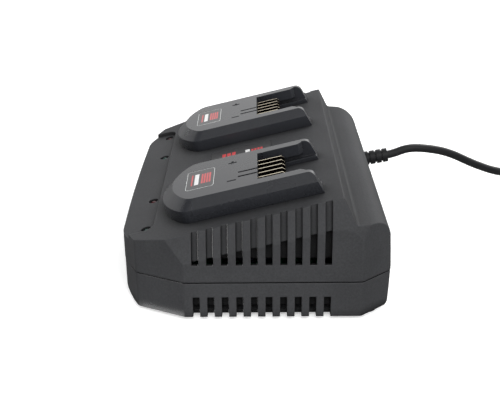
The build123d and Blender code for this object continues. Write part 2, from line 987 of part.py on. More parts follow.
# ---------------------------------------------------------------- middle plate
with BuildPart() as middle_plate:
    with BuildSketch(deck_plane):
        with Locations((0, -plate_middle)):
            RectangleRounded(
                plate_width - 2 * label_clearance,
                plate_length - 2 * label_clearance,
                plate_corner - label_clearance,
            )
    extrude(amount=-plate_thickness)
finish(middle_plate.part, "middle_plate")

# ---------------------------------------------------------------- lamps and their board
with BuildPart() as lamp_board:
    with BuildSketch(deck_plane.offset(lamp_board_bottom)):
        with Locations((0, lamp_s)):
            Rectangle(2 * lamp_board_half, lamp_board_width)
        with Locations(*lamp_posts):
            Circle(lamp_screw_shank / 2 + screw_clearance, mode=Mode.SUBTRACT)
    extrude(amount=board_thickness)
finish(lamp_board.part, "lamp_board")

lamp_height = lamp_floor - lamp_drop - lamp_board_top
lamp_radius = lamp_diameter / 2
for number, x in enumerate(lamp_xs, start=1):
    lamp_base = deck_plane.from_local_coords((x, lamp_s, lamp_board_top))
    lamp_side = Plane(origin=lamp_base, x_dir=(1, 0, 0), z_dir=-deck_plane.y_dir)
    with BuildPart() as lamp:
        with BuildSketch(lamp_side):
            with BuildLine():
                Polyline(
                    (0, lamp_height),
                    (0, 0),
                    (lamp_flange / 2, 0),
                    (lamp_flange / 2, lamp_flange_height),
                    (lamp_radius, lamp_flange_height),
                    (lamp_radius, lamp_height - lamp_radius),
                )
                RadiusArc((lamp_radius, lamp_height - lamp_radius), (0, lamp_height), -lamp_radius)
            make_face()
        revolve(axis=Axis(lamp_base, deck_plane.z_dir))
    finish(lamp.part, f"lamp_{number}")

# ---------------------------------------------------------------- rubber feet
for name, place in foot_places.items():
    with BuildPart() as foot:
        extrude(discs(Plane.XY, [place], foot_diameter), amount=foot_height + foot_pocket)
        chamfer(foot.edges().group_by(Axis.Z)[0], foot_edge)
    finish(foot.part, f"foot_{name}")


# ---------------------------------------------------------------- screws
def screws(plane, places, length, shank=screw_shank, head=screw_head, rise=screw_head_height):
    """Screws whose heads sit behind a plane and whose shanks run along its normal."""
    with BuildPart() as group:
        extrude(discs(plane, places, head), amount=-rise)
        extrude(discs(plane, places, shank), amount=length)
        with BuildSketch(plane.offset(-rise)):
            with Locations(*places):
                RegularPolygon(screw_socket / 2, 6)
        extrude(amount=screw_socket_depth, mode=Mode.SUBTRACT)
    return group.part


def facing_down(height, places):
    """A plane at a height whose normal points down, and the places as it sees them."""
    plane = Plane(origin=(0, 0, height), x_dir=(1, 0, 0), z_dir=(0, 0, -1))
    return plane, [(x, -y) for x, y in places]


finish(
    screws(Plane.XY.offset(casing_seat), casing_posts, casing_screw_length), "casing_screws"
)
finish(screws(*facing_down(board_top, board_posts), board_screw_length), "board_screws")
finish(screws(*facing_down(clamp_top, clamp_screws_at), clamp_screw_length), "clamp_screws")
finish(
    screws(
        deck_plane.offset(lamp_board_bottom),
        lamp_posts,
        lamp_screw_length,
        lamp_screw_shank,
        lamp_screw_head,
        lamp_screw_head_height,
    ),
    "lamp_board_screws",
)
for side in dock_xs:
    finish(screws(dock_plane(side, -wall), dock_screws_at, dock_screw_length), f"dock_screws_{side}")

# ---------------------------------------------------------------- main circuit board
with BuildPart() as main_board:
    with BuildSketch(Plane.XY.offset(board_bottom)):
        with Locations((0, (board_front + board_back) / 2)):
            Rectangle(2 * board_half_x, board_back - board_front)
        with Locations(*board_posts):
            Circle(screw_hole / 2, mode=Mode.SUBTRACT)
    extrude(amount=board_thickness)
finish(main_board.part, "main_board")

board_plane = Plane.XY.offset(board_top)


def block(place, size, lift=0.0):
    """A box that stands over a place on the main board."""
    with BuildPart(board_plane.offset(lift)) as piece:
        with Locations(place):
            Box(*size, align=(Align.CENTER, Align.CENTER, Align.MIN))
    return piece.part


def can(place, diameter, height, shoulder):
    """A capacitor can on the main board, with a chamfered top rim."""
    with BuildPart() as piece:
        extrude(discs(board_plane, [place], diameter), amount=height)
        chamfer(piece.edges().group_by(Axis.Z)[-1], shoulder)
    return piece.part


# two transformers: core, and winding on its middle leg
window_height = core_z - 2 * core_yoke
window_outer = core_x / 2 - core_rim
winding_x = 2 * (window_outer - winding_gap)
winding_y = core_y + 2 * winding_overhang
for name, sign in (("left", -1), ("right", 1)):
    place = (sign * transformer_x, transformer_y)
    with BuildPart() as core:
        add(block(place, (core_x, core_y, core_z)))
        for window_side in sides:
            window_x = place[0] + window_side * (core_leg / 2 + window_outer) / 2
            window_size = (window_outer - core_leg / 2, 2 * core_y, window_height)
            add(block((window_x, place[1]), window_size, core_yoke), mode=Mode.SUBTRACT)
    finish(core.part, f"transformer_core_{name}")
    with BuildPart() as winding:
        add(block(place, (winding_x, winding_y, window_height), core_yoke))
        fillet(winding.edges().filter_by(Axis.Z), winding_overhang / 2)
        add(block(place, (core_leg, core_y, window_height), core_yoke), mode=Mode.SUBTRACT)
    finish(winding.part, f"transformer_winding_{name}")

finish(can(bulk_place, bulk_diameter, bulk_height, can_chamfer), "mains_capacitor")
for number, place in enumerate(output_places, start=1):
    finish(
        can(place, output_diameter, output_height, can_chamfer), f"output_capacitor_{number}"
    )

with BuildPart() as choke:
    extrude(discs(board_plane, [choke_place], choke_outer), amount=choke_height)
    fillet(choke.edges().group_by(Axis.Z)[-1], choke_round)
    extrude(
        discs(board_plane, [choke_place], choke_inner), amount=choke_height, mode=Mode.SUBTRACT
    )
finish(choke.part, "mains_choke")
finish(block(x_capacitor_place, x_capacitor_size), "filter_capacitor")
finish(block(fuse_place, fuse_size), "fuse")

# heat sinks, each with a power transistor on its back face
fin_back = sink_place_y - sink_base / 2
transistor_front = sink_place_y + sink_base / 2
transistor_y = transistor_front + transistor_depth / 2
for name, sign in (("left", -1), ("right", 1)):
    middle_x = sign * sink_place_x
    with BuildPart() as sink:
        add(block((middle_x, sink_place_y), (sink_length, sink_base, sink_height)))
        with BuildSketch(board_plane):
            for fin_x in row(sink_fin_count, (sink_length - sink_fin) / (sink_fin_count - 1)):
                with Locations((middle_x + fin_x, fin_back)):
                    Rectangle(sink_fin, sink_fin_depth, align=(Align.CENTER, Align.MAX))
        extrude(amount=sink_height)
    finish(sink.part, f"heat_sink_{name}")
    with BuildPart() as transistor:
        add(
            block(
                (middle_x, transistor_y),
                (transistor_width, transistor_depth, transistor_height),
                transistor_lift,
            )
        )
        for lead_x in row(3, transistor_lead_pitch):
            lead_size = (transistor_lead_width, transistor_lead_thickness, transistor_lift)
            add(block((middle_x + lead_x, transistor_y), lead_size))
    finish(transistor.part, f"transistor_{name}")

# ---------------------------------------------------------------- strain relief
relief_plane = Plane(
    origin=(cord_x, half_depth, cord_z),
    x_dir=(1, 0, 0),
    z_dir=(0, cos(radians(relief_tilt)), sin(radians(relief_tilt))),
)
centre = [(0, 0)]
back_wall_centre = [(cord_x, cord_z)]
ring_length = (relief_length - (relief_ring_count - 1) * relief_groove) / relief_ring_count
with BuildPart() as strain_relief:
    extrude(neck_outline(half_depth, 0), amount=half_depth - relief_inner_y)
    extrude(
        discs(Plane.XZ.offset(-relief_inner_y), back_wall_centre, relief_flange),
        amount=relief_flange_thickness,
    )
    extrude(
        discs(Plane.XZ.offset(-half_depth), back_wall_centre, relief_diameter),
        amount=-relief_collar,
    )
    extrude(
        discs(relief_plane.offset(relief_start), centre, relief_groove_diameter),
        amount=relief_length - relief_start,
    )
    for ring in range(relief_ring_count):
        ring_start = max(ring * (ring_length + relief_groove), relief_start)
        ring_end = ring * (ring_length + relief_groove) + ring_length
        extrude(
            discs(relief_plane.offset(ring_start), centre, relief_diameter),
            amount=ring_end - ring_start,
        )
finish(strain_relief.part, "strain_relief")

# ---------------------------------------------------------------- lead inside the casing
with BuildPart() as cord_tail:
    extrude(
        discs(Plane.XZ.offset(-tail_start_y), back_wall_centre, cord_diameter),
        amount=cord_tail_length,
    )
finish(cord_tail.part, "cord_tail")

with BuildPart() as cord_clamp:
    with BuildSketch(Plane.XY.offset(cord_z)):
        with Locations((cord_x, clamp_y)):
            Rectangle(2 * clamp_half, clamp_width)
        with Locations(*clamp_screws_at):
            Circle(screw_hole / 2, mode=Mode.SUBTRACT)
    extrude(amount=clamp_top - cord_z)
    extrude(
        discs(Plane.XZ.offset(-half_depth), back_wall_centre, clamp_bore),
        amount=2 * (half_depth - clamp_y),
        mode=Mode.SUBTRACT,
    )
finish(cord_clamp.part, "cord_clamp")


# ---------------------------------------------------------------- lead outside
def bend_radii(points):
    """The largest bend at each inner point that leaves a little straight between bends."""
    radii = []
    for before, here, after in zip(points, points[1:], points[2:]):
        arriving = Vector(*here) - Vector(*before)
        leaving = Vector(*after) - Vector(*here)
        turn = radians(arriving.get_angle(leaving))
        radii.append(cord_bend_share * min(arriving.length, leaving.length) / tan(turn / 2))
    return radii


def tube(points):
    """A round cord along straight runs joined by bends."""
    radii = bend_radii(points)
    with BuildPart() as cord:
        with BuildLine() as path:
            FilletPolyline(*points, radius=radii)
        with BuildSketch(Plane(origin=path.line @ 0, z_dir=path.line % 0)):
            Circle(cord_diameter / 2)
        sweep(path=path.line)
    length = sum(edge.length for edge in path.line.edges())
    share = cord.part.volume / (pi * cord_diameter**2 / 4 * length)
    print("bend radii", [round(radius, 1) for radius in radii])
    print("length", round(length, 1), "volume over section times length", round(share, 4))
    return cord.part


coil_x, coil_y = coil_middle
coil_half = coil_turns_wide * cord_diameter / 2
coil_height = coil_turns_high * cord_diameter
coil_plane = Plane(origin=(coil_x, coil_y, coil_lift), x_dir=(1, 0, 0), z_dir=(0, -1, 0))
coil_axis = Axis((coil_x, coil_y, 0), (0, 0, 1))
coil_section_middle = (coil_ring / 2, coil_height / 2)
outer_turn = coil_ring / 2 + coil_half - cord_diameter / 2
low_turn_z = coil_lift + cord_diameter / 2
high_turn_z = low_turn_z + cord_diameter
entry_x, entry_y = coil_x - outer_turn, coil_y - coil_stub
exit_x, exit_y = coil_x + coil_stub, coil_y + outer_turn
relief_end = relief_plane.from_local_coords((0, 0, relief_length))
first_bend = relief_plane.from_local_coords((0, 0, relief_length + cord_first_run))
plug_z = plug_height / 2
plug_x = exit_x + plug_gap
plug_y = exit_y - plug_shift
lead_points = [
    tuple(relief_end),
    tuple(first_bend),
    *cord_route,
    (entry_x, entry_y - cord_last_run, low_turn_z),
    (entry_x, entry_y, low_turn_z),
]
plug_lead_points = [
    (exit_x, exit_y, high_turn_z),
    (exit_x + plug_lead_run, exit_y, high_turn_z),
    (plug_x - plug_lead_run, plug_y, plug_z),
    (plug_x, plug_y, plug_z),
]
finish(tube(lead_points), "mains_lead")
finish(tube(plug_lead_points), "plug_lead")

# the coiled part of the lead, with a stub at each end that the two runs butt against
with BuildPart() as lead_coil:
    with BuildSketch(coil_plane):
        with Locations(coil_section_middle):
            RectangleRounded(2 * coil_half, coil_height, cord_diameter / 2 - tie_clearance)
    revolve(axis=coil_axis)
    entry = discs(Plane.XZ.offset(-entry_y), [(entry_x, low_turn_z)], cord_diameter)
    extrude(entry, amount=-coil_stub)
    leaving = discs(Plane.YZ.offset(exit_x), [(exit_y, high_turn_z)], cord_diameter)
    extrude(leaving, amount=-coil_stub)
finish(lead_coil.part, "lead_coil")

# a band round the coil
band_width = 2 * (coil_half + tie_clearance)
band_height = coil_height + 2 * tie_clearance
with BuildPart() as lead_tie:
    with BuildSketch(coil_plane):
        with Locations(coil_section_middle):
            Rectangle(band_width + 2 * tie_thickness, band_height + 2 * tie_thickness)
            Rectangle(band_width, band_height, mode=Mode.SUBTRACT)
    revolve(axis=coil_axis, revolution_arc=degrees(2 * tie_width / coil_ring))
finish(lead_tie.part, "lead_tie")

# ---------------------------------------------------------------- mains plug
plug_start = Plane.YZ.offset(plug_x)
plug_face_x = plug_x + plug_neck_length + plug_length
with BuildPart() as plug:
    extrude(discs(plug_start, [(plug_y, plug_z)], plug_neck_diameter), amount=plug_neck_length)
    with BuildSketch() as plug_plan:
        with Locations((plug_x + plug_neck_length, plug_y)):
            Polygon(
                (0, -plug_back_width / 2),
                (plug_taper, -plug_width / 2),
                (plug_length, -plug_width / 2),
                (plug_length, plug_width / 2),
                (plug_taper, plug_width / 2),
                (0, plug_back_width / 2),
                align=None,
            )
        fillet(plug_plan.vertices(), plug_corner)
    extrude(amount=plug_height)
    level_edges = plug.edges().filter_by(Plane.XY)
    chamfer(level_edges.group_by(Axis.Z)[0] + level_edges.group_by(Axis.Z)[-1], plug_edge)
finish(plug.part, "mains_plug")

pin_places = [(plug_y + sign * pin_spacing / 2, plug_z) for sign in sides]
with BuildPart() as plug_pins:
    extrude(discs(Plane.YZ.offset(plug_face_x), pin_places, pin_diameter), amount=pin_length)
    chamfer(plug_pins.edges().group_by(Axis.X)[-1], pin_tip)
finish(plug_pins.part, "plug_pins")
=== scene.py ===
"""Looks of the twin-bay battery charger: materials, the mains lead, light and camera."""

import bpy
import json
from math import cos, pi, radians, sin
from mathutils import Matrix, Vector


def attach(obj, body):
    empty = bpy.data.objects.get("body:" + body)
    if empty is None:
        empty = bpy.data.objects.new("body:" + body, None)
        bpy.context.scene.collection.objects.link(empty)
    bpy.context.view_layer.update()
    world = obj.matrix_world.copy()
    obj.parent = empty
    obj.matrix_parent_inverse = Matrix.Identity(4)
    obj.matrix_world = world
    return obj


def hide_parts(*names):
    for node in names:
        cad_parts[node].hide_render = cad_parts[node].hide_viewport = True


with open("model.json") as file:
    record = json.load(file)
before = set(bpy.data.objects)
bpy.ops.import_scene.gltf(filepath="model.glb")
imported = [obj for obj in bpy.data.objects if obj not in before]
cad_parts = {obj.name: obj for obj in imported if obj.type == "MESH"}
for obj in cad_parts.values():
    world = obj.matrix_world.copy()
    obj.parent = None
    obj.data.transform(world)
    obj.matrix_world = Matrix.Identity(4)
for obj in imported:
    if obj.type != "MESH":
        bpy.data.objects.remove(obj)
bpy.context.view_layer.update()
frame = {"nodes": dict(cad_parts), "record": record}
nodes = frame["nodes"]
scene = bpy.context.scene
MM = 0.001

# ---------------------------------------------------------------- camera
# Its place in metres, its angles in radians, its lens and sensor in millimetres.
CAMERA_PLACE = Vector((0.6423, 0.0014, 0.3050))
CAMERA_DOWN = 0.4031
CAMERA_TURN = 0.007
CAMERA_ROLL = -0.0099
FOCAL_MM = 64.8
SENSOR_MM = 36
NEAR_CLIP = 0.01

forward = Vector(
    (
        -cos(CAMERA_DOWN) * cos(CAMERA_TURN),
        -cos(CAMERA_DOWN) * sin(CAMERA_TURN),
        -sin(CAMERA_DOWN),
    )
)
level_right = Vector((-sin(CAMERA_TURN), cos(CAMERA_TURN), 0))
level_up = level_right.cross(forward)
right = cos(CAMERA_ROLL) * level_right + sin(CAMERA_ROLL) * level_up
up = cos(CAMERA_ROLL) * level_up - sin(CAMERA_ROLL) * level_right
camera_data = bpy.data.cameras.new("camera")
camera_data.sensor_fit = "HORIZONTAL"
camera_data.sensor_width = SENSOR_MM
camera_data.lens = FOCAL_MM
camera_data.clip_start = NEAR_CLIP
camera = bpy.data.objects.new("camera", camera_data)
turn = Matrix((right, up, -forward)).transposed().to_4x4()
camera.matrix_world = Matrix.Translation(CAMERA_PLACE) @ turn
scene.collection.objects.link(camera)
scene.camera = camera


# ---------------------------------------------------------------- shader nodes
def feed(nt, socket, value):
    """Gives a socket a plain value, or links another socket to it."""
    if isinstance(value, bpy.types.NodeSocket):
        nt.links.new(value, socket)
    else:
        socket.default_value = value


def maths(nt, operation, *values):
    """One step of arithmetic on sockets or numbers."""
    node = nt.nodes.new("ShaderNodeMath")
    node.operation = operation
    for socket, value in zip(node.inputs, values):
        feed(nt, socket, value)
    return node.outputs[0]


def product(nt, first, *others):
    """Several sockets or numbers multiplied together."""
    for value in others:
        first = maths(nt, "MULTIPLY", first, value)
    return first


def dot(nt, first, second):
    """The dot product of two directions."""
    node = nt.nodes.new("ShaderNodeVectorMath")
    node.operation = "DOT_PRODUCT"
    feed(nt, node.inputs[0], first)
    feed(nt, node.inputs[1], second)
    return node.outputs["Value"]


def axes_of(nt, vector):
    """The X, Y and Z of a vector, by name."""
    node = nt.nodes.new("ShaderNodeSeparateXYZ")
    nt.links.new(vector, node.inputs[0])
    return node.outputs


def remap(nt, source, start, end, low=0.0, high=1.0, smooth=False):
    """Maps the range from start to end onto low to high, and keeps within those."""
    node = nt.nodes.new("ShaderNodeMapRange")
    if smooth:
        node.interpolation_type = "SMOOTHSTEP"
    node.inputs["From Min"].default_value = start
    node.inputs["From Max"].default_value = end
    node.inputs["To Min"].default_value = low
    node.inputs["To Max"].default_value = high
    nt.links.new(source, node.inputs["Value"])
    return node.outputs["Result"]


def ramp(nt, source, low, high, start=0.35, end=0.65):
    """Maps a factor to a colour between low and high."""
    node = nt.nodes.new("ShaderNodeValToRGB")
    for stop, place, colour in zip(node.color_ramp.elements, (start, end), (low, high)):
        stop.position = place
        stop.color = (*colour, 1)
    nt.links.new(source, node.inputs["Fac"])
    return node.outputs["Color"]


def colour_mix(nt, factor, first, second, blend="MIX"):
    """A mix of two colours, or their product with the blend MULTIPLY."""
    node = nt.nodes.new("ShaderNodeMix")
    node.data_type = "RGBA"
    node.blend_type = blend
    feed(nt, node.inputs["Factor"], factor)
    feed(nt, node.inputs["A"], first)
    feed(nt, node.inputs["B"], second)
    return node.outputs["Result"]


def shader_mix(nt, factor, first, second):
    """A mix of two shaders."""
    node = nt.nodes.new("ShaderNodeMixShader")
    nt.links.new(factor, node.inputs["Fac"])
    nt.links.new(first.outputs[0], node.inputs[1])
    nt.links.new(second.outputs[0], node.inputs[2])
    return node


def any_ray(nt, *kinds):
    """1 for a ray of any of the kinds named, 0 for others."""
    path = nt.nodes.new("ShaderNodeLightPath")
    value = path.outputs[kinds[0]]
    for kind in kinds[1:]:
        value = maths(nt, "MAXIMUM", value, path.outputs[kind])
    return value


def noise(nt, coords, scale, detail=2.0, rough=0.5, stretch=None):
    """A noise texture in object space, with an optional stretch."""
    tex = nt.nodes.new("ShaderNodeTexNoise")
    tex.inputs["Scale"].default_value = scale
    tex.inputs["Detail"].default_value = detail
    tex.inputs["Roughness"].default_value = rough
    place = coords.outputs["Object"]
    if stretch:
        mapping = nt.nodes.new("ShaderNodeMapping")
        mapping.inputs["Scale"].default_value = stretch
        nt.links.new(place, mapping.inputs["Vector"])
        place = mapping.outputs["Vector"]
    nt.links.new(place, tex.inputs["Vector"])
    return tex.outputs["Fac"]


def softened(nt, radius, samples):
    """The surface's direction, with its edges rounded by a radius in metres."""
    bevel = nt.nodes.new("ShaderNodeBevel")
    bevel.samples = samples
    bevel.inputs["Radius"].default_value = radius
    return bevel.outputs["Normal"]


def bumped(nt, height, strength, depth, normal):
    """The surface's direction with small bumps on it, depth in metres."""
    bump = nt.nodes.new("ShaderNodeBump")
    bump.inputs["Strength"].default_value = strength
    bump.inputs["Distance"].default_value = depth
    nt.links.new(height, bump.inputs["Height"])
    nt.links.new(normal, bump.inputs["Normal"])
    return bump.outputs["Normal"]


# ---------------------------------------------------------------- world and lamps
# The studio: an even pale tent with soft brighter panels. The camera sees it plain white.
# A panel is the direction to its middle, the half angle of its soft edge in degrees, and
# its strength on matt surfaces and in gloss.
TENT_LIGHT = 0.08
TENT_GLEAM = 0.22
PANEL_CORE = 5
PANELS = [
    ((1.0, 0.18, 0.82), 44, 5.20, 0.65),
    ((-1.0, 0.30, 0.50), 55, 0.00, 1.06),
    ((-0.9, -1.0, 0.0), 30, 8.50, 0.35),
    ((-0.80, 0.80, 0.10), 50, 3.00, 0.30),
]
# A lamp is its name, place, target and side in metres, and its power in watts.
LAMPS = [
    ("key", (0.10, 0.30, 1.10), (0, 0, 0.04), 0.9, 0.2),
    ("rear", (-0.22, 0.25, 0.30), (0, 0.05, 0.06), 0.20, 0.34),
]


def background(nt, strength):
    """A white background of a given strength."""
    light = nt.nodes.new("ShaderNodeBackground")
    light.inputs["Color"].default_value = (1, 1, 1, 1)
    feed(nt, light.inputs["Strength"], strength)
    return light


def studio_light(nt, direction, base, panels):
    """A background of a base strength, with soft panels of light added to it."""
    strength = base
    for axis, edge, gain in panels:
        facing = dot(nt, direction, Vector(axis).normalized())
        rim, core = cos(radians(edge)), cos(radians(PANEL_CORE))
        panel = remap(nt, facing, rim, core, high=gain, smooth=True)
        strength = maths(nt, "ADD", panel, strength)
    return background(nt, strength)


world = bpy.data.worlds.new("studio")
scene.world = world
world.use_nodes = True
wt = world.node_tree
wt.nodes.clear()
world_direction = wt.nodes.new("ShaderNodeTexCoord").outputs["Generated"]
matt_panels = [(axis, edge, matt) for axis, edge, matt, shine in PANELS]
gloss_panels = [(axis, edge, shine) for axis, edge, matt, shine in PANELS]
light_on_object = studio_light(wt, world_direction, TENT_LIGHT, matt_panels)
light_in_gloss = studio_light(wt, world_direction, TENT_GLEAM, gloss_panels)
in_gloss = any_ray(wt, "Is Glossy Ray", "Is Transmission Ray")
lit = shader_mix(wt, in_gloss, light_on_object, light_in_gloss)
seen = shader_mix(wt, any_ray(wt, "Is Camera Ray"), lit, background(wt, 1.0))
world_out = wt.nodes.new("ShaderNodeOutputWorld")
wt.links.new(seen.outputs[0], world_out.inputs["Surface"])

for lamp_name, place, target, side, watts in LAMPS:
    lamp_data = bpy.data.lights.new(lamp_name, "AREA")
    lamp_data.shape = "SQUARE"
    lamp_data.size = side
    lamp_data.energy = watts
    lamp = bpy.data.objects.new(lamp_name, lamp_data)
    aim = (Vector(target) - Vector(place)).to_track_quat("-Z", "Y").to_matrix().to_4x4()
    lamp.matrix_world = Matrix.Translation(Vector(place)) @ aim
    scene.collection.objects.link(lamp)

# ---------------------------------------------------------------- floor
# The camera sees a white floor that glows a little. On the object it throws less light back.
FLOOR_PAINT = 0.82
FLOOR_GLOW = 0.42
FLOOR_BOUNCE = 0.20
FLOOR_HALF = 6.0
FLOOR_Z = -0.0003


def diffuse(nt, grey):
    """A matt shader of an even grey."""
    paint = nt.nodes.new("ShaderNodeBsdfDiffuse")
    paint.inputs["Color"].default_value = (grey, grey, grey, 1)
    return paint


floor_mesh = bpy.data.meshes.new("floor")
corners = [(-1, -1), (1, -1), (1, 1), (-1, 1)]
floor_mesh.from_pydata(
    [(x * FLOOR_HALF, y * FLOOR_HALF, FLOOR_Z) for x, y in corners], [], [(0, 1, 2, 3)]
)
floor = bpy.data.objects.new("floor", floor_mesh)
scene.collection.objects.link(floor)
floor_mat = bpy.data.materials.new("floor")
floor_mat.use_nodes = True
ft = floor_mat.node_tree
ft.nodes.clear()
floor_glow = ft.nodes.new("ShaderNodeEmission")
floor_glow.inputs["Strength"].default_value = FLOOR_GLOW
floor_bright = ft.nodes.new("ShaderNodeAddShader")
ft.links.new(diffuse(ft, FLOOR_PAINT).outputs[0], floor_bright.inputs[0])
ft.links.new(floor_glow.outputs[0], floor_bright.inputs[1])
seen_ray = any_ray(ft, "Is Camera Ray", "Is Transmission Ray")
floor_seen = shader_mix(ft, seen_ray, diffuse(ft, FLOOR_BOUNCE), floor_bright)
floor_out = ft.nodes.new("ShaderNodeOutputMaterial")
ft.links.new(floor_seen.outputs[0], floor_out.inputs["Surface"])
floor_mesh.materials.append(floor_mat)

# ---------------------------------------------------------------- materials
# Scales are in features per metre, radii and depths in metres.
PLASTIC_SAMPLES = 6
FINE_SAMPLES = 4

# Plastic: slow drift of colour and roughness, and fine specks.
DRIFT_SCALE, DRIFT_DETAIL = 22, 4
COLOUR_DRIFT = 0.10
ROUGHNESS_DRIFT = 0.05
SPECK_SCALE, SPECK_DETAIL, SPECK_ROUGH = 700, 5, 0.75
SPECK_DARK, SPECK_LIGHT = (0.88, 0.88, 0.88), (1.12, 1.12, 1.12)
SPECK_START, SPECK_END = 0.36, 0.64
GRAIN_DETAIL, GRAIN_ROUGH, GRAIN_STRENGTH = 3, 0.6, 0.5
# A painted highlight on edges, with some polish, starts where a softened edge has turned a
# little from its face, and is full further on.
EDGE_HIGHLIGHT_START, EDGE_HIGHLIGHT_END = 0.99, 0.80
WEAR_POLISH = 0.25
# Painted shade in crevices and next to raised parts, from ambient occlusion: how far round the
# openness is felt, and its shut and open ends.
CREVICE_SHADE_REACH = 0.010
CREVICE_SHADE_SHUT, CREVICE_SHADE_OPEN = 0.35, 0.98

# Painted light and shade on the sides of the upper vent slots: a painted highlight where a
# side faces the front, painted shade where it faces the back.
# Each pair is where a share starts and where it is full, as a distance in metres or as a part
# of the surface's direction.
SLOT_GAIN = 2.5
SLOT_AT_END = (0.112, 0.116)
SLOT_TO_FRONT = (0.012, -0.020)
SIDE_FACING_FRONT = (-0.22, -0.50)
SIDE_FACING_BACK = (0.08, 0.35)
SLOT_SHADE_COLOUR = (0.004, 0.004, 0.004)
SLOT_SHADE_SHARE = 0.85


def tree(name):
    """A new material, its nodes, its Principled shader and its texture coordinates."""
    mat = bpy.data.materials.new(name)
    mat.use_nodes = True
    nt = mat.node_tree
    return mat, nt, nt.nodes["Principled BSDF"], nt.nodes.new("ShaderNodeTexCoord")


def shade(colour, k):
    """A colour made lighter or darker by a factor."""
    return tuple(c * k for c in colour)


def paint_slot_light_and_shade(nt, base, coords, normal, openness, highlight_colour):
    """In the end slots, a side that faces the front gets a painted highlight, and the other
    gets painted shade.
    """
    deep = product(nt, maths(nt, "SUBTRACT", 1.0, openness), SLOT_GAIN)
    deep = maths(nt, "MINIMUM", deep, 1.0)
    turned = axes_of(nt, normal)
    place = axes_of(nt, coords.outputs["Object"])
    steps = (
        (place["Y"], SLOT_TO_FRONT),
        (turned["Y"], SIDE_FACING_FRONT),
        (turned["Y"], SIDE_FACING_BACK),
        (maths(nt, "ABSOLUTE", place["X"]), SLOT_AT_END),
    )
    shares = [product(nt, remap(nt, source, *ends), deep) for source, ends in steps]
    near_front, front_side, back_side, at_end = shares
    # painted highlight on the slot sides that face the front
    painted_highlight = product(nt, near_front, front_side, at_end)
    base = colour_mix(nt, painted_highlight, base, (*highlight_colour, 1))
    # painted shade on the slot sides that face the back
    painted_shade = product(nt, back_side, at_end, SLOT_SHADE_SHARE)
    return colour_mix(nt, painted_shade, base, (*SLOT_SHADE_COLOUR, 1))


def plastic(
    name,
    colour,
    roughness,
    grain,
    grain_depth,
    edge,
    specular=0.5,
    edge_highlight_gain=1.5,
    crevice_shade=1.0,
    slot_highlight_colour=None,
):
    """Moulded plastic: grain, slow drift, soft edges with a painted highlight and some polish,
    and painted shade that makes crevices darker by a factor.
    """
    mat, nt, bsdf, coords = tree(name)
    drift = noise(nt, coords, DRIFT_SCALE, DRIFT_DETAIL)
    dark, light = shade(colour, 1 - COLOUR_DRIFT), shade(colour, 1 + COLOUR_DRIFT)
    base = ramp(nt, drift, dark, light)
    speck = noise(nt, coords, SPECK_SCALE, SPECK_DETAIL, SPECK_ROUGH)
    speckle = ramp(nt, speck, SPECK_DARK, SPECK_LIGHT, SPECK_START, SPECK_END)
    base = colour_mix(nt, 1, base, speckle, "MULTIPLY")
    normal = softened(nt, edge, PLASTIC_SAMPLES)
    face = nt.nodes.new("ShaderNodeNewGeometry")
    # painted highlight along edges; the same mask also polishes them
    edge_highlight_and_polish = remap(nt, dot(nt, normal, face.outputs["Normal"]), EDGE_HIGHLIGHT_START, EDGE_HIGHLIGHT_END)
    base = colour_mix(nt, edge_highlight_and_polish, base, (*shade(colour, edge_highlight_gain), 1))
    # painted shade: darker in crevices and next to raised parts, from ambient occlusion
    crevice_occlusion = nt.nodes.new("ShaderNodeAmbientOcclusion")
    crevice_occlusion.samples = PLASTIC_SAMPLES
    crevice_occlusion.inputs["Distance"].default_value = CREVICE_SHADE_REACH
    openness = remap(nt, crevice_occlusion.outputs["AO"], CREVICE_SHADE_SHUT, CREVICE_SHADE_OPEN, low=crevice_shade)
    base = colour_mix(nt, 1, base, openness, "MULTIPLY")
    # painted highlight and painted shade on the sides of the end vent slots
    if slot_highlight_colour:
        base = paint_slot_light_and_shade(nt, base, coords, normal, openness, slot_highlight_colour)
    nt.links.new(base, bsdf.inputs["Base Color"])
    rough_ends = (roughness - ROUGHNESS_DRIFT, roughness + ROUGHNESS_DRIFT)
    rough = remap(nt, drift, 0.0, 1.0, *rough_ends)
    polish = product(nt, edge_highlight_and_polish, -WEAR_POLISH * roughness)
    nt.links.new(maths(nt, "ADD", rough, polish), bsdf.inputs["Roughness"])
    bsdf.inputs["Specular IOR Level"].default_value = specular
    bumps = noise(nt, coords, grain, GRAIN_DETAIL, GRAIN_ROUGH)
    normal = bumped(nt, bumps, GRAIN_STRENGTH, grain_depth, normal)
    nt.links.new(normal, bsdf.inputs["Normal"])
    return mat


# Metal: drawn lines, stretched along the piece or round it.
METAL_EDGE = 0.00015
LINES_SCALE, LINES_DETAIL, LINES_ROUGH = 8, 4, 0.7
LINES_DARK = 0.82
LINES_SMOOTHER, LINES_ROUGHER = 0.7, 1.4
LENGTHWISE = (40, 600, 600)
ROUND_THE_WINDING = (60, 60, 900)


def metal(name, colour, roughness, stretch=LENGTHWISE):
    """Plated or bare metal with fine drawn lines."""
    mat, nt, bsdf, coords = tree(name)
    bsdf.inputs["Metallic"].default_value = 1
    lines = noise(nt, coords, LINES_SCALE, LINES_DETAIL, LINES_ROUGH, stretch)
    base = ramp(nt, lines, shade(colour, LINES_DARK), colour)
    nt.links.new(base, bsdf.inputs["Base Color"])
    rough_ends = (roughness * LINES_SMOOTHER, roughness * LINES_ROUGHER)
    nt.links.new(remap(nt, lines, 0.0, 1.0, *rough_ends), bsdf.inputs["Roughness"])
    nt.links.new(softened(nt, METAL_EDGE, FINE_SAMPLES), bsdf.inputs["Normal"])
    return mat


# A blade's broad faces look to the left and right and are painted dark as shade: where that
# share starts and is full.
BROAD_FACE = (0.55, 0.85)


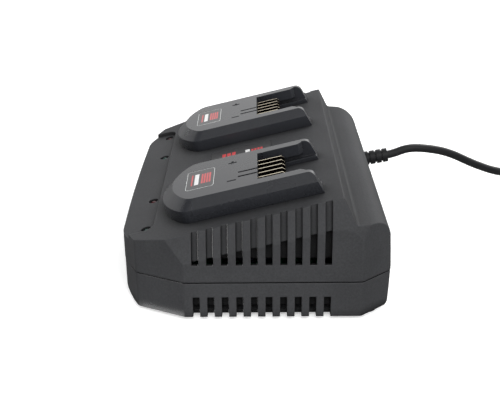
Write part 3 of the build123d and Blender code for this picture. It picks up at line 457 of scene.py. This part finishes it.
def blade_metal(name, bright, dull, roughness):
    """Contact blades: bright metal on their edges, and painted shade that darkens their broad
    faces.
    """
    mat = metal(name, bright, roughness)
    nt = mat.node_tree
    colour_input = nt.nodes["Principled BSDF"].inputs["Base Color"]
    face = nt.nodes.new("ShaderNodeNewGeometry")
    across = maths(nt, "ABSOLUTE", axes_of(nt, face.outputs["Normal"])["X"])
    broad_face_shade = remap(nt, across, *BROAD_FACE)
    base = colour_input.links[0].from_socket
    # painted shade on the broad faces
    nt.links.new(colour_mix(nt, broad_face_shade, base, (*dull, 1)), colour_input)
    return mat


# Rubber: patches of dust, and a fine grain.
DUST_SCALE, DUST_DETAIL, DUST_ROUGH = 60, 5, 0.6
DUST_LIGHT = 1.5
DUST_START, DUST_END = 0.4, 0.75
DUST_ROUGHNESS = 0.08
RUBBER_SPECULAR = 0.3
RUBBER_GRAIN, RUBBER_GRAIN_STRENGTH, RUBBER_GRAIN_DEPTH = 2200, 0.3, 0.0001
RUBBER_EDGE = 0.0004


def rubber(name, colour, roughness):
    """Dull rubber, soft vinyl or fabric, with a little dust."""
    mat, nt, bsdf, coords = tree(name)
    dust = noise(nt, coords, DUST_SCALE, DUST_DETAIL, DUST_ROUGH)
    base = ramp(nt, dust, colour, shade(colour, DUST_LIGHT), DUST_START, DUST_END)
    nt.links.new(base, bsdf.inputs["Base Color"])
    rough_ends = (roughness - DUST_ROUGHNESS, roughness + DUST_ROUGHNESS)
    nt.links.new(remap(nt, dust, 0.0, 1.0, *rough_ends), bsdf.inputs["Roughness"])
    bsdf.inputs["Specular IOR Level"].default_value = RUBBER_SPECULAR
    normal = softened(nt, RUBBER_EDGE, FINE_SAMPLES)
    bumps = noise(nt, coords, RUBBER_GRAIN)
    normal = bumped(nt, bumps, RUBBER_GRAIN_STRENGTH, RUBBER_GRAIN_DEPTH, normal)
    nt.links.new(normal, bsdf.inputs["Normal"])
    return mat


# Lamps.
RESIN_CLOUDS = 300
RESIN_DARK = 0.8
RESIN_ROUGHNESS = 0.05
RESIN_CLEAR = 0.25
RESIN_IOR = 1.5


def lamp_resin(name, colour):
    """Tinted, partly clear resin of an unlit lamp."""
    mat, nt, bsdf, coords = tree(name)
    clouds = noise(nt, coords, RESIN_CLOUDS)
    base = ramp(nt, clouds, shade(colour, RESIN_DARK), colour)
    nt.links.new(base, bsdf.inputs["Base Color"])
    bsdf.inputs["Roughness"].default_value = RESIN_ROUGHNESS
    bsdf.inputs["Transmission Weight"].default_value = RESIN_CLEAR
    bsdf.inputs["IOR"].default_value = RESIN_IOR
    return mat


# ---------------------------------------------------------------- printed films
# Millimetres. The films lie on the sloped deck and on the docks' tops, parallel to it.
DECK_SLOPE = radians(13.5)
DECK_ZERO = 70.219
DOCK_X = 69.0
DOCK_TOP = 14.6
LABEL_S = -34.0
PLATE_S = -10.0
INK_SOFT = 0.08
FILM_GRAIN, FILM_GRAIN_DEPTH, FILM_EDGE = 600, 0.00002, 0.0002
FILM_COLOUR = (0.030, 0.030, 0.032)
# the label's pale rim is a painted highlight on the film's edge
LABEL_RIM_HIGHLIGHT = (0.50, 0.52, 0.51)
PLATE_RIM = (0.012, 0.012, 0.012)
RED_INK = (0.50, 0.045, 0.05)
WHITE_INK = (0.72, 0.72, 0.72)


def on_deck(x, s, h):
    """The place on the sloped deck at x, a distance s up the slope and a height h over it."""
    y = s * cos(DECK_SLOPE) - h * sin(DECK_SLOPE)
    return (x, y, DECK_ZERO + s * sin(DECK_SLOPE) + h * cos(DECK_SLOPE))


def on_film(nt, coords, middle):
    """Coordinates in millimetres across and along a sloped film, from its middle."""
    shift = nt.nodes.new("ShaderNodeMapping")
    shift.vector_type = "TEXTURE"
    shift.inputs["Location"].default_value = [c * MM for c in middle]
    shift.inputs["Rotation"].default_value = (DECK_SLOPE, 0, 0)
    shift.inputs["Scale"].default_value = (MM, MM, MM)
    nt.links.new(coords.outputs["Object"], shift.inputs["Vector"])
    axes = axes_of(nt, shift.outputs["Vector"])
    return axes["X"], axes["Y"]


def rounded_box(nt, place, middle, half, corner):
    """How far outside a rounded rectangle a place on the film is."""
    outside = []
    for value, centre, reach in zip(place, middle, half):
        away = maths(nt, "ABSOLUTE", maths(nt, "SUBTRACT", value, centre))
        outside.append(maths(nt, "SUBTRACT", away, reach - corner))
    beyond = [maths(nt, "MAXIMUM", value, 0.0) for value in outside]
    squares = [product(nt, value, value) for value in beyond]
    round_part = maths(nt, "SQRT", maths(nt, "ADD", *squares))
    flat_part = maths(nt, "MINIMUM", maths(nt, "MAXIMUM", *outside), 0.0)
    return maths(nt, "SUBTRACT", maths(nt, "ADD", round_part, flat_part), corner)


def printed(nt, distance):
    """1 inside a printed shape, 0 outside it, from the distance to its outline."""
    return remap(nt, distance, -INK_SOFT, INK_SOFT, 1.0, 0.0)


def bars(places, half, corner, ink):
    """Equal bars across a film at several places along it."""
    return [((0.0, along), half, corner, ink) for along in places]


def film(name, roughness, middle, half, corner, rim, rim_colour, prints):
    """A thin label: a rim line of a given width and plain printed bars on a smooth film."""
    mat = plastic(name, FILM_COLOUR, roughness, FILM_GRAIN, FILM_GRAIN_DEPTH, FILM_EDGE)
    nt = mat.node_tree
    place = on_film(nt, nt.nodes.new("ShaderNodeTexCoord"), middle)
    outline = rounded_box(nt, place, (0, 0), half, corner)
    layers = [(maths(nt, "SUBTRACT", -rim, outline), rim_colour)]
    for bar_middle, bar_half, bar_corner, bar_ink in prints:
        layers.append((rounded_box(nt, place, bar_middle, bar_half, bar_corner), bar_ink))
    colour_input = nt.nodes["Principled BSDF"].inputs["Base Color"]
    base = colour_input.links[0].from_socket
    for distance, ink in layers:
        base = colour_mix(nt, printed(nt, distance), base, (*ink, 1))
    nt.links.new(base, colour_input)
    return mat


def dock_label(side, sign):
    """The film on one dock's top: a pale rim that is a painted highlight on its edge, red
    stripes and one short white bar.
    """
    return film(
        f"label_film_{side}",
        roughness=0.30,
        middle=on_deck(sign * DOCK_X, LABEL_S, DOCK_TOP),
        half=(16.9, 9.9),
        corner=2.4,
        rim=0.42,
        rim_colour=LABEL_RIM_HIGHLIGHT,
        prints=[
            *bars((1.3, 3.1, 4.9, 6.7), (8.8, 0.62), 0.3, RED_INK),
            *bars((-2.6,), (9.6, 1.5), 0.4, WHITE_INK),
            *bars((-5.9,), (9.6, 0.5), 0.2, RED_INK),
        ],
    )


# ---------------------------------------------------------------- what each piece is made of
# Colour, roughness, grain scale, grain depth and edge radius.
PLASTICS = {
    "black_plastic": ((0.010, 0.010, 0.011), 0.45, 1200, 0.0001, 0.0003),
    "plug_plastic": ((0.012, 0.012, 0.013), 0.42, 1300, 0.0001, 0.0008),
    "ferrite": ((0.035, 0.035, 0.038), 0.6, 900, 0.0001, 0.0004),
    "board_laminate": ((0.012, 0.085, 0.035), 0.35, 500, 0.00003, 0.0002),
    "capacitor_can": ((0.03, 0.035, 0.06), 0.3, 700, 0.00002, 0.0003),
    "film_capacitor_case": ((0.50, 0.36, 0.03), 0.35, 700, 0.00003, 0.0004),
}
# Colour and roughness.
RUBBERS = {
    "foot_rubber": ((0.010, 0.010, 0.010), 0.75),
    "lead_rubber": ((0.0085, 0.0088, 0.0095), 0.34),
    "tie_fabric": ((0.015, 0.015, 0.016), 0.85),
}
METALS = {
    "pin_metal": ((0.80, 0.78, 0.72), 0.22),
    "screw_steel": ((0.62, 0.62, 0.64), 0.35),
    "sink_aluminium": ((0.70, 0.70, 0.72), 0.4),
}
RESINS = {"lamp_green": (0.008, 0.075, 0.055), "lamp_red": (0.085, 0.008, 0.010)}

by_slot = {name: plastic(name, *look) for name, look in PLASTICS.items()}
by_slot.update({name: rubber(name, *look) for name, look in RUBBERS.items()})
by_slot.update({name: metal(name, *look) for name, look in METALS.items()})
by_slot.update({name: lamp_resin(name, colour) for name, colour in RESINS.items()})
by_slot["casing_plastic"] = plastic(
    "casing_plastic",
    (0.0445, 0.0452, 0.0478),
    roughness=0.64,
    grain=1500,
    grain_depth=0.00012,
    edge=0.0013,
    specular=0.12,
    # how much lighter the painted edge highlight is
    edge_highlight_gain=1.15,
    # strength of the painted crevice shade
    crevice_shade=0.12,
    # colour of the painted highlight on the vent slot sides
    slot_highlight_colour=(0.40, 0.40, 0.40),
)
by_slot["dock_plastic"] = plastic(
    "dock_plastic",
    (0.0175, 0.0187, 0.0225),
    roughness=0.28,
    grain=1900,
    grain_depth=0.00002,
    edge=0.0006,
    # strength of the painted crevice shade
    crevice_shade=0.5,
)
by_slot["contact_metal"] = blade_metal(
    # the broad faces' colour is painted shade
    "contact_metal", bright=(0.86, 0.76, 0.58), dull=(0.045, 0.035, 0.022), roughness=0.22
)
by_slot["winding_copper"] = metal(
    "winding_copper", (0.55, 0.20, 0.07), roughness=0.35, stretch=ROUND_THE_WINDING
)
by_slot["label_film"] = dock_label("left", -1)
by_slot["plate_film"] = film(
    "plate_film",
    roughness=0.50,
    middle=on_deck(0, PLATE_S, 0),
    half=(19.9, 23.65),
    corner=2.9,
    rim=0.25,
    rim_colour=PLATE_RIM,
    prints=[
        *bars((-13.3, -9.5, -5.7), (11.3, 1.45), 0.3, RED_INK),
        *bars((5.3,), (9.8, 1.7), 0.4, WHITE_INK),
        *bars((9.0, 11.4, 13.8, 16.2), (9.0, 0.85), 0.3, RED_INK),
    ],
)
for entry in frame["record"]["subparts"]:
    piece = nodes[entry["node"]]
    piece.data.materials.clear()
    piece.data.materials.append(by_slot[entry["material_slot"]])
nodes["dock_label_right"].data.materials[0] = dock_label("right", 1)

# ---------------------------------------------------------------- mains lead
# Millimetres. The lead runs out of the back and down, lies as a coil of two layers, and ends
# in the plug.
CORD = 7.0
COIL_X, COIL_Y = -76.6, 305.0
COIL_MEAN = 38.0
COIL_LIFT = 1.2
LOW_Z = COIL_LIFT + CORD / 2
HIGH_Z = LOW_Z + CORD
INNER, OUTER = COIL_MEAN - CORD, COIL_MEAN + CORD
TURN_POINTS = 16
COIL_TURNS = 5.25
# From which turn to which turn the lead moves to another radius of the coil.
RADIUS_MOVES = [
    (0.75, 1.0, COIL_MEAN),
    (1.75, 2.0, INNER),
    (3.25, 3.5, COIL_MEAN),
    (4.25, 4.5, OUTER),
]
CLIMB_START, CLIMB_END = 2.45, 2.75


def eased(t, start, end, low, high):
    """Low before start, high after end, and an even climb between."""
    share = min(max((t - start) / (end - start), 0.0), 1.0)
    return low + (high - low) * share


def coil_point(t):
    """The lead's place after t turns: in over the lower layer, up, and out over the upper."""
    r = OUTER
    for start, end, radius in RADIUS_MOVES:
        r = eased(t, start, end, r, radius)
    z = eased(t, CLIMB_START, CLIMB_END, LOW_Z, HIGH_Z)
    a = pi - 2 * pi * t
    return (COIL_X + r * cos(a), COIL_Y + r * sin(a), z)


# The lead leaves the coil past its middle, and runs straight there and into the plug.
PAST_MIDDLE = 25.0
TO_PLUG, PLUG_SHIFT = 34.0, 2.0
STRAIGHT = 11.0
PLUG_Z = 6.85
EXIT_X, EXIT_Y = COIL_X + PAST_MIDDLE, COIL_Y + OUTER
PLUG_X, PLUG_Y = EXIT_X + TO_PLUG, EXIT_Y - PLUG_SHIFT
ROUND_RESOLUTION = 6
LINE_RESOLUTION = 8
LINE_ORDER = 3
route = [
    (-83.0, 114.113, 37.128),
    (-83.0, 119.037, 37.996),
    (-83.0, 131.5, 43.2),
    (-84.0, 147.5, 42.4),
    (-89.5, 168.5, 36.5),
    (-98.5, 194.0, 21.5),
    (-112.0, 222.0, 8.0),
    (COIL_X - OUTER, COIL_Y - 50.0, LOW_Z),
    (COIL_X - OUTER, COIL_Y - 25.0, LOW_Z),
]
turns = [coil_point(i / TURN_POINTS) for i in range(int(COIL_TURNS * TURN_POINTS) + 1)]
tail = [
    (EXIT_X, EXIT_Y, HIGH_Z),
    (EXIT_X + STRAIGHT, EXIT_Y, HIGH_Z),
    (PLUG_X - STRAIGHT, PLUG_Y, PLUG_Z),
    (PLUG_X, PLUG_Y, PLUG_Z),
]
lead_curve = bpy.data.curves.new("mains_lead_line", "CURVE")
lead_curve.dimensions = "3D"
lead_curve.bevel_depth = CORD / 2 * MM
lead_curve.bevel_resolution = ROUND_RESOLUTION
lead_curve.use_fill_caps = True
spline = lead_curve.splines.new("NURBS")
points = route + turns + tail
spline.points.add(len(points) - 1)
for point, place in zip(spline.points, points):
    point.co = (place[0] * MM, place[1] * MM, place[2] * MM, 1)
spline.order_u = LINE_ORDER
spline.use_endpoint_u = True
spline.resolution_u = LINE_RESOLUTION
lead = bpy.data.objects.new("mains_lead_cord", lead_curve)
scene.collection.objects.link(lead)
lead_curve.materials.append(by_slot["lead_rubber"])
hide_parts("mains_lead", "lead_coil", "plug_lead")
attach(lead, "root")

# ---------------------------------------------------------------- view settings
scene.view_settings.view_transform = "Standard"
